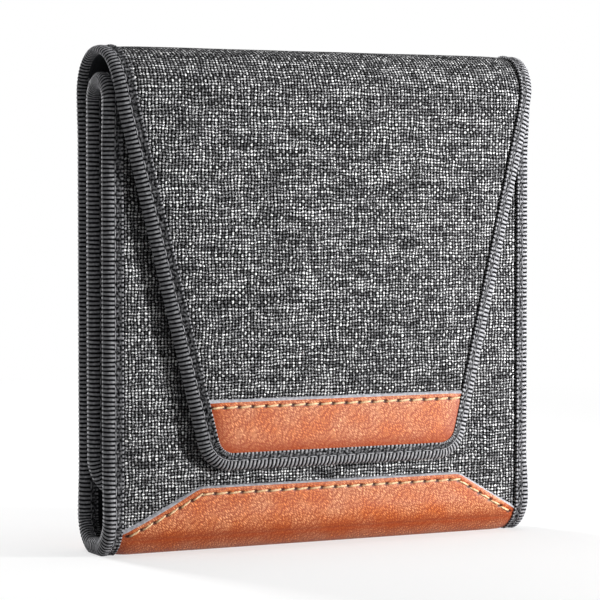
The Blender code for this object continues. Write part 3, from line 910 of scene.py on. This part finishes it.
# The section carried along a rim. The ribs stand out by the squared sine of the distance along it,
# counted in ribs, by uneven heights, and lean a little to and fro.
def addBinding(name, line):
    section = tapeSection()
    ribCount = round(line["t"][-1] / tape["ribPitch"])
    rows = (np.arange(ribCount)[:, None] + np.array(tape["ribRows"])).ravel()
    rows = np.append(rows, ribCount)[:, None]
    t = rows * line["t"][-1] / ribCount
    point, inward, direction = [values[:, None] for values in lineAt(line, t[:, 0])]
    crown = np.sin(math.pi * rows) ** 2
    uneven = 1 + 0.18 * np.sin(rows * 1.7) + 0.12 * np.sin(rows * 0.61 + 1)
    out = tape["ribHeight"] * (crown - 0.55) * uneven * section["ribs"]
    way = section["way"] + out * section["outWay"]
    lean = tape["lean"] * np.sin(rows * 0.83) * np.sin(rows * 0.23)
    slide = lean * (section["way"] - tape["rimRound"])
    slide = slide * smoothStep(rows / 6) * smoothStep((ribCount - rows) / 6)
    x, s = np.moveaxis(point + way[..., None] * inward + slide[..., None] * direction, -1, 0)
    face = faceDepth(point[..., 0], point[..., 1], section["way"])
    depth = section["share"] * tapeDepth(point[..., 1]) + (1 - section["share"]) * face
    depth = depth + section["offset"] + out * section["outDepth"]
    return addPiece(name, onStrip(x, s, depth), ringFaces(len(rows), len(section["way"])),
                    grosgrainLook, np.broadcast_arrays(section["way"], rows))


# Stitches as twisted capsules: round a centre line that dips at both ends, the radius shrinks to the
# ends and swells twice round for two plies. Centres and directions are in x and s, and the side is
# -1 where the thread lies on the outer face and 1 on the inner one.
def addStitches(name, centre, direction, depth, side, style, look):
    style = {"ply": 0, "twist": 0, "slant": 0, "stations": 6, "corners": 5, **style}
    along = np.linspace(-1, 1, style["stations"])[:, None]
    around = np.linspace(0, 2 * math.pi, style["corners"], endpoint=False)
    slant = math.radians(style["slant"])
    ahead = direction * math.cos(slant) + quarterTurn(direction) * math.sin(slant)
    ply = 1 + style["ply"] * np.cos(2 * around - style["twist"] * along)
    radius = style["radius"] * np.sqrt(np.maximum(1 - np.abs(along) ** 3, 0.004)) * ply
    reach, over = style["length"] / 2 * along, radius * np.cos(around)
    x, s = [middle[:, None, None] + reach * fore[:, None, None] + over * beside[:, None, None]
            for middle, fore, beside in zip(centre.T, ahead.T, quarterTurn(ahead).T)]
    lift = style["lift"] - style["dip"] * along ** 2
    depth = np.broadcast_to(depth, len(centre))[:, None, None]
    depth = depth + side * (lift + radius * np.sin(around))
    faceSets = ringFaces(style["stations"], style["corners"], len(centre))
    return addPiece(name, onStrip(x, s, depth), faceSets, look, crease=80)


bindingStitch = {
    "pitch": 3.1,
    "length": 2.7,
    "radius": 0.11,
    "lift": 0.04,
    "dip": 0.14,
}


# Distances along a line, evenly about a pitch apart, with a margin left free at both ends.
def evenPlaces(line, pitch, margin=0.0):
    length = line["t"][-1] - 2 * margin
    count = max(1, round(length / pitch))
    return margin + (np.arange(count) + 0.5) * length / count


def makeBinding():
    parts = {
        "backBinding": ("back", "back", "back_binding_left", "back_binding_right", "flap_binding",
                        "top_fold_binding_left", "top_fold_binding_right"),
        "frontBinding": ("front", "front", "front_binding_left", "front_binding_right", "inner_binding",
                         "inner_fold_binding_left", "inner_fold_binding_right"),
        "baseBindingLeft": ("baseLeft", "base", "bottom_fold_binding_left"),
        "baseBindingRight": ("baseRight", "base", "bottom_fold_binding_right"),
    }
    for name, (rim, part, *nodes) in parts.items():
        settle(addBinding(name, rims[rim]), part, "binding_tape", *nodes)
        point, inward, direction = lineAt(rims[rim], evenPlaces(rims[rim], bindingStitch["pitch"]))
        centre = point + inward * tape["seamInset"]
        sink = tape["seamSink"] * 0.55
        outer = faceDepth(*point.T, tape["seamInset"]) + sink
        for face, side, depth in (("Outer", -1, outer), ("Inner", 1, tapeDepth(centre[:, 1]) - sink)):
            settle(addStitches(name + face + "Seam", centre, direction, depth, side, bindingStitch,
                               greyThreadLook), part, "binding_tape")


makeBinding()
print("binding ready")

leather = {
    "back": 0.82,
    "least": 0.12,
    "patchStrip": 0.9,
    "bevel": 0.6,
    "edgeDepth": 0.42,
    "crownDepth": -0.08,
    "crownReach": 2.2,
    "turned": 0.22,
    "turnedReach": 0.35,
    "stitchInset": 2.2,
    "stitchGroove": 0.12,
    "grooveWidth": 0.45,
    "holeDepth": 0.32,
    "holeWidth": 0.42,
    "holeStretch": 1.8,
    "cell": 0.4,
}
creamStitch = {
    "pitch": 4.2,
    "length": 3.7,
    "radius": 0.31,
    "lift": 0.12,
    "dip": 0.26,
    "ply": 0.16,
    "twist": 7.0,
    "slant": -6,
    "stations": 15,
    "corners": 10,
}


# The least distance from each place to some points, where x counts less by a stretch.
def nearest(x, s, points, stretch=1.0):
    flat = np.stack([x.ravel() / stretch, s.ravel()], 1)
    points = points / (stretch, 1)
    best = np.full(len(flat), np.inf)
    for block in np.array_split(points, max(1, len(points) // 8)):
        best = np.minimum(best, np.linalg.norm(flat[:, None] - block[None], axis=2).min(1))
    return best.reshape(x.shape)


# Centres and directions of the cream stitches along a leather edge, and the holes before and after
# each one.
def stitchRow(line, margin):
    t = evenPlaces(line, creamStitch["pitch"], margin)
    gap = t[1] - t[0]
    point, inward, direction = lineAt(line, t)
    holePoint, holeInward, _ = lineAt(line, np.append(t - gap / 2, t[-1] + gap / 2))
    inset = leather["stitchInset"]
    return point + inward * inset, direction, holePoint + holeInward * inset


# Leather from its face to its back: low at the binding and rising to its crown, less a groove along
# the stitches, a turned edge and a bell-shaped pit at each hole. A fold may be added to its face.
def addLeather(name, x, s, side, edge, hole, edgeStrip, floorDepth, fold=0, folded=np.inf):
    crownRise = leather["crownDepth"] - leather["edgeDepth"]
    face = leather["edgeDepth"] + crownRise * rising(side, leather["crownReach"])
    face = np.maximum(face, floorDepth)
    groove = leather["stitchGroove"] * bell(edge - leather["stitchInset"], leather["grooveWidth"])
    turned = leather["turned"] * np.exp(-np.maximum(edge - edgeStrip, 0) / leather["turnedReach"])
    pit = leather["holeDepth"] * bell(hole, leather["holeWidth"])
    shaped = np.minimum(face + groove + turned + pit, leather["back"] - leather["least"])
    under = faceDepth(x, s, side + tapeFace)
    # The edge mark, the least distance to the binding or the fold, and the hole mark place the finish's
    # painted shade.
    return addSkin(name, x, s, shaped + under + fold, leather["back"] + under, leatherLook,
                   {"edge": np.minimum(side, folded), "hole": hole})


# A painted edge: a flat bead carried along a line just inside it, its face cut to slope outwards. The
# width is a function of x, and the bead's section a circle drawn out towards a square.
def addEdgeStrip(name, line, widthAt):
    def squared(wave):
        return np.sign(wave) * np.abs(wave) ** 0.7

    turns = np.linspace(0, 2 * math.pi, 14, endpoint=False)
    point, inward, _ = lineAt(line, np.linspace(0, line["t"][-1], round(line["t"][-1] / 0.8)))
    share = (1 + squared(np.cos(turns))) / 2
    way = widthAt(point[:, :1]) * share + 0.06 * (share - 0.5)
    depth = 0.46 + 0.36 * squared(np.sin(turns))
    depth = np.minimum(depth + leather["bevel"] * (1 - share), leather["back"])
    x, s = [point[:, k, None] + way * inward[:, k, None] for k in (0, 1)]
    depth = depth + faceDepth(x, s, tapeFace)
    return addPiece(name, onStrip(x, s, depth), ringFaces(len(x), len(turns)), edgeLook)


def addCreamRow(name, centre, direction, crownDepth):
    depth = crownDepth + leather["stitchGroove"] + faceDepth(*centre.T, tapeFace)
    return addStitches(name, centre, direction, depth, -1, creamStitch, creamThreadLook)


def makePatch():
    inset = tapeFace - 0.1
    left, right = [side[0] for side in spanAt(rims["back"], inset, np.array([patchTop]))]
    top = roundedLine([(right, patchTop), (left, patchTop)])
    centre, direction, holes = stitchRow(top, 0.6)
    width = leather["patchStrip"]
    x, s = stripGrid("back", inset, patchTop + width - 0.1, flapFoot - inset - 0.02, leather["cell"])
    side = rimDistance("back", x, s) - tapeFace
    hole = nearest(x, s, holes, leather["holeStretch"])
    patch = addLeather("leatherPatch", x, s, side, s - patchTop, hole, width, -1)
    settle(patch, "flap", "tan_leather", "flap_patch")
    edgeStrip = addEdgeStrip("patchPaintedEdge", top, lambda x: width)
    settle(edgeStrip, "flap", "painted_edge", "flap_patch_edge")
    stitches = addCreamRow("patchStitches", centre, direction, leather["crownDepth"])
    settle(stitches, "flap", "tan_leather")


makePatch()
print("patch ready")

crease = {
    "height": 4.4,
    "depth": 0.16,
    "width": 0.55,
    # Offset in mm added to the distance from the crease for its painted shade.
    "paintedLight": 0.4,
}


# The band's leather, from the front round the base to the back, with a pressed crease low in front.
def makeWrap():
    x = np.linspace(-bandEnd - 0.1, bandEnd + 0.1, round(2 * bandEnd / leather["cell"]) + 1)
    frontLine = lineThrough(np.stack([x, frontFoot - bandHeight(x)], 1)[::-1])
    backTop = backFoot + bandShape["backRise"]
    backLine = roundedLine([(-bandEnd, backTop), (bandEnd, backTop)])
    rows = [stitchRow(line, 0.8) for line in (frontLine, backLine)]
    stripWidth = bandStrip(x)
    topS = frontFoot - bandHeight(x) + stripWidth * 1.02
    share = np.linspace(0, 1, round((backTop - frontFoot + 8) / leather["cell"]))[:, None]
    s = topS + (backTop - stripWidth - topS) * share
    x, stripWidth = np.broadcast_to(x, s.shape), np.broadcast_to(stripWidth, s.shape)
    side = halfWidth - tapeFace - np.abs(x)
    edge = np.minimum(nearest(x, s, frontLine["points"][::6]), backTop - s)
    hole = nearest(x, s, np.concatenate([row[2] for row in rows]), leather["holeStretch"])
    low = (strip["s"] > frontFoot - 1) & (strip["s"] < (frontFoot + backFoot) / 2)
    fromCrease = s - np.interp(crease["height"], strip["z"][low][::-1], strip["s"][low][::-1])
    fold = crease["depth"] * bell(fromCrease, crease["width"]) * smoothStep(side / 4)
    # The band's edge mark also counts the distance from the crease, so painted shade darkens it along
    # the crease.
    wrap = addLeather("leatherBand", x, s, side, edge, hole, stripWidth, 0.0, fold,
                      np.abs(fromCrease) + crease["paintedLight"])
    settle(wrap, "base", "tan_leather", "base_band", "base_wrap", "back_band")
    for name, line, row, nodes in (("front", frontLine, rows[0], ["base_band_edge"]),
                                   ("back", backLine, rows[1], [])):
        edgeStrip = addEdgeStrip(name + "BandPaintedEdge", line, bandStrip)
        settle(edgeStrip, "base", "painted_edge", *nodes)
        settle(addCreamRow(name + "BandStitches", *row[:2], 0), "base", "tan_leather")


makeWrap()
print("band ready")

pocket = {
    "seam": 2.8,
    "sideSlope": 7,
    "footSlope": 10,
    "sewnDepth": 3.3,
    "thick": 0.34,
    "hem": 5,
    "hemThick": 0.1,
    "ripple": 0.22,
    "rippleLength": 34,
    "cell": 1.6,
}
hemStitch = {
    "pitch": 3.0,
    "length": 2.5,
    "radius": 0.14,
    "lift": 0.03,
    "dip": 0.1,
}


# Each pocket's cloth is sewn to the lining at its sides and foot, and stands off it between: a smooth
# step in from each side times one up from the foot. Slack cloth adds low waves that only sink.
def makePockets():
    places = {
        "back": ("back_panel", lambda z: backFoot + z - baseZ, True),
        "front": ("front_panel", lambda z: frontFoot - (z - baseZ), False),
        "inner": ("inner_panel", lambda z: z - innerTape[0][2], True),
    }
    for number, (name, (body, alongAt, mouthUp)) in enumerate(places.items()):
        low, high = nodeBox(name + "_pocket")
        seamZ, mouthZ = (low[2], high[2]) if mouthUp else (high[2], low[2])
        bulge, edge = high[1] - low[1] - 0.5, high[0]
        share = np.linspace(0, 1, round(abs(mouthZ - seamZ) / pocket["cell"]))[:, None]
        x, z = np.broadcast_arrays(np.linspace(-edge, edge, round(2 * edge / pocket["cell"])),
                                   seamZ + (mouthZ - seamZ) * share)
        fromSide = smoothStep((edge - pocket["seam"] - np.abs(x)) / pocket["sideSlope"])
        fromFoot = smoothStep((np.abs(z - seamZ) - pocket["seam"]) / pocket["footSlope"])
        rise = fromSide * fromFoot
        slack = pocket["ripple"] * (1 + ripple(x, z, pocket["rippleLength"], 20 + number)) * rise
        hem = pocket["hemThick"] * smoothStep((pocket["hem"] - np.abs(mouthZ - z)) / 0.6)
        near = pocket["sewnDepth"] + bulge * rise - slack
        far = near + pocket["thick"] + hem
        piece = addSkin(name + "Pocket", x, alongAt(z), near, far, liningLook)
        settle(piece, body, "lining_cloth", name + "_pocket")
        declareSheet(x, z)
        hemZ = mouthZ + (pocket["hem"] - 0.9) * (-1 if mouthUp else 1)
        reach = edge - pocket["seam"] - 2
        line = roundedLine([(-reach, alongAt(hemZ)), (reach, alongAt(hemZ))])
        centre, _, direction = lineAt(line, evenPlaces(line, hemStitch["pitch"]))
        row = np.abs(z[:, 0] - hemZ).argmin()
        depth = np.interp(centre[:, 0], x[row], far[row])
        settle(addStitches(name + "PocketHem", centre, direction, depth, 1, hemStitch, darkThreadLook),
               body, "lining_cloth")


makePockets()
print("pockets ready")

pad = {
    "corner": 1.6,
    "ground": 0.34,
    "seamInset": 1.4,
    "hookInset": 2.6,
    "hookPitch": 1.5,
    "hookHeight": 0.46,
    "hookRadius": 0.13,
    "hookReach": 0.55,
    "loopInset": 0.8,
    "loopCount": 1500,
    "loopHeight": 0.3,
    "loopRadius": 0.06,
    "loopReach": 0.5,
}
padStitch = {
    "pitch": 2.6,
    "length": 2.1,
    "radius": 0.15,
    "lift": 0.02,
    "dip": 0.1,
}


# A pad's woven ground and its seam: a rounded outline carried inwards over its rounded edge, in x
# and s, and stitches inside it.
def addGround(name, half, midS, depth, side, look):
    wide, tall = half
    low, high = midS - tall, midS + tall
    line = roundedLine([(0, low), (-wide, low), (-wide, high), (wide, high), (wide, low), (0, low)],
                       [0] + [pad["corner"]] * 4 + [0])
    point, inward, _ = lineAt(line, np.linspace(0, line["t"][-1], 160, endpoint=False))
    inward = inward * np.sign((((0, midS) - point) * inward).sum(1).mean())
    inset = np.array([0, 0, 0.12, 0.4, 0.9])[:, None]
    rise = np.array([0, 0.6, 0.9, 1, 1])[:, None] * pad["ground"]
    x, s = [point[:, k] + inset * inward[:, k] for k in (0, 1)]
    ground = addPiece(name, onStrip(x, s, depth + side * rise), ringFaces(*x.shape), look, crease=50)
    wide, tall = half - pad["seamInset"]
    low, high = midS - tall, midS + tall
    seam = roundedLine([(-wide, low), (wide, low), (wide, high), (-wide, high), (-wide, low)])
    centre, _, direction = lineAt(seam, evenPlaces(seam, padStitch["pitch"]))
    return ground, addStitches(name + "Seam", centre, direction, depth + side * pad["ground"], side,
                               padStitch, darkThreadLook)


# Small bent stalks: a half circle of a few rings each, standing on the ground. Places and turns are
# one for each stalk, and reach is how far it leans over as it rises.
def addStalks(name, x, s, turn, depth, side, height, radius, reach, look):
    bend = np.linspace(0, 1, 6)[:, None]
    around = np.linspace(0, 2 * math.pi, 4, endpoint=False)
    over = reach * (1 - np.cos(bend * 2.6)) / 2
    rise = height * np.sin(bend * 2.1)
    thick = radius * (1 - 0.4 * bend)
    out, wide = over + thick * np.cos(around) * 0.8, thick * np.sin(around)
    x, s, cosine, sine = [values[:, None, None] for values in (x, s, np.cos(turn), np.sin(turn))]
    points = onStrip(x + out * cosine - wide * sine, s + out * sine + wide * cosine,
                     depth + side * rise)
    return addPiece(name, points, ringFaces(6, 4, len(x)), look, crease=80)


def makePads():
    random = np.random.default_rng(11)
    hookS = roofEnd + roofZ - (hookBox[0][2] + hookBox[1][2]) / 2
    hookHalf, loopHalf = [(box[1] - box[0])[[0, 2]] / 2 for box in (hookBox, loopBox)]
    hookDepth, loopDepth = hookBox[0][1] - flapY - 0.2, loopBox[1][1] - frontY + 0.2
    across, up = [np.arange(-half + pad["hookInset"], half - pad["hookInset"] + 0.1, pitch)
                  for half, pitch in zip(hookHalf, (pad["hookPitch"], pad["hookPitch"] * 0.8))]
    gridX, gridS = [values.ravel() for values in np.meshgrid(across, up)]
    gridX = gridX + 0.12 * random.standard_normal(len(gridX))
    turn = np.where(np.arange(len(gridX)) % 2, 0, math.pi) + 0.3 * random.standard_normal(len(gridX))
    ground, seam = addGround("hookTape", hookHalf, hookS, hookDepth, 1, hookLook)
    hooks = addStalks("hookTapeHooks", gridX, hookS + gridS, turn, hookDepth + pad["ground"] - 0.03, 1,
                      pad["hookHeight"], pad["hookRadius"], pad["hookReach"], hookLook)
    settle(ground, "flap", "hook_tape", "hook_pad")
    settle(seam, "flap", "hook_tape")
    settle(hooks, "flap", "hook_tape")
    reachX, reachS = loopHalf - pad["loopInset"]
    x = random.uniform(-reachX, reachX, pad["loopCount"])
    s = loopS + random.uniform(-reachS, reachS, pad["loopCount"])
    turn = random.uniform(0, 2 * math.pi, pad["loopCount"])
    ground, seam = addGround("loopTape", loopHalf, loopS, loopDepth, -1, loopLook)
    loops = addStalks("loopTapeNap", x, s, turn, loopDepth - pad["ground"] + 0.05, -1,
                      pad["loopHeight"], pad["loopRadius"], pad["loopReach"], loopLook)
    settle(ground, "front_panel", "loop_tape", "loop_pad")
    settle(seam, "front_panel", "loop_tape")
    settle(loops, "front_panel", "loop_tape")


makePads()
for boardNode in ("back_stiffener", "front_stiffener", "inner_stiffener", "flap_interlining"):
    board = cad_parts[boardNode]
    board.data.materials.clear()
    board.data.materials.append(boardLook)
print("pads and boards ready")

studio = {
    "floorColour": "#B4B4B4",
    "floorSize": 9000,
    "floorNear": 200,
    "floorFar": 650,
    "topUp": 0.55,
    "ambient": 0.05,
    "lamps": {
        "key": {"place": (450, -370, 110), "aim": (0, 0, 65), "size": 80, "power": 5.7},
        "front": {"place": (420, -830, 420), "aim": (0, 0, 60), "size": 400, "power": 0.9},
        "top": {"place": (60, -40, 1000), "aim": (0, 0, 80), "size": 600, "power": 4},
        "rear": {"place": (-240, 810, 260), "aim": (0, 0, 70), "size": 200, "power": 10},
    },
}


# Empties a material's or world's node tree, and gives the function that adds to it.
def emptied(owner):
    owner.use_nodes = True
    owner.node_tree.nodes.clear()
    return nodesOf(owner.node_tree)


# What the camera and mirrors see: 1 for a ray from the camera, a reflection or through glass.
def seenRays(add):
    path = add("LightPath").outputs
    seen = add("Math MAXIMUM", path["Is Camera Ray"], path["Is Glossy Ray"])
    return add("Math MAXIMUM", seen, path["Is Transmission Ray"])


# The world is faint for the object and white where it is seen. The floor is pale paper that takes
# the object's shadow, is lifted a little where it is seen, and is white from some way off.
def makeStudio():
    scene = bpy.context.scene
    scene.view_settings.view_transform = "Standard"
    scene.world = bpy.data.worlds.new("studio")
    add = emptied(scene.world)
    soft = add("Background", "#FFFFFF", studio["ambient"])
    white = add("Background", "#FFFFFF", 1.0)
    add("OutputWorld", add("MixShader", seenRays(add), soft, white))

    half = studio["floorSize"] / 2 * mm
    mesh = bpy.data.meshes.new("floor")
    mesh.from_pydata([(-half, -half, 0), (half, -half, 0), (half, half, 0), (-half, half, 0)], [],
                     [(0, 1, 2, 3)])
    material = bpy.data.materials.new("palePaperRolled")
    add = emptied(material)
    paper = add("BsdfDiffuse", studio["floorColour"])
    lit = add("AddShader", paper, add("Emission", "#FFFFFF", studio["topUp"]))
    reach = add("VectorMath LENGTH", add("TexCoord").outputs["Object"])
    away = add("MapRange SMOOTHSTEP", reach, studio["floorNear"] * mm, studio["floorFar"] * mm)
    shown = add("MixShader", away, lit, add("Emission", "#FFFFFF", 1.0))
    add("OutputMaterial", add("MixShader", seenRays(add), paper, shown))
    mesh.materials.append(material)
    putInScene("floor", mesh)

    for name, lamp in studio["lamps"].items():
        light = bpy.data.lights.new(name, "AREA")
        light.energy = lamp["power"]
        light.size = lamp["size"] * mm
        aimAt(putInScene(name, light), lamp["place"], lamp["aim"])


makeStudio()
print("studio ready")
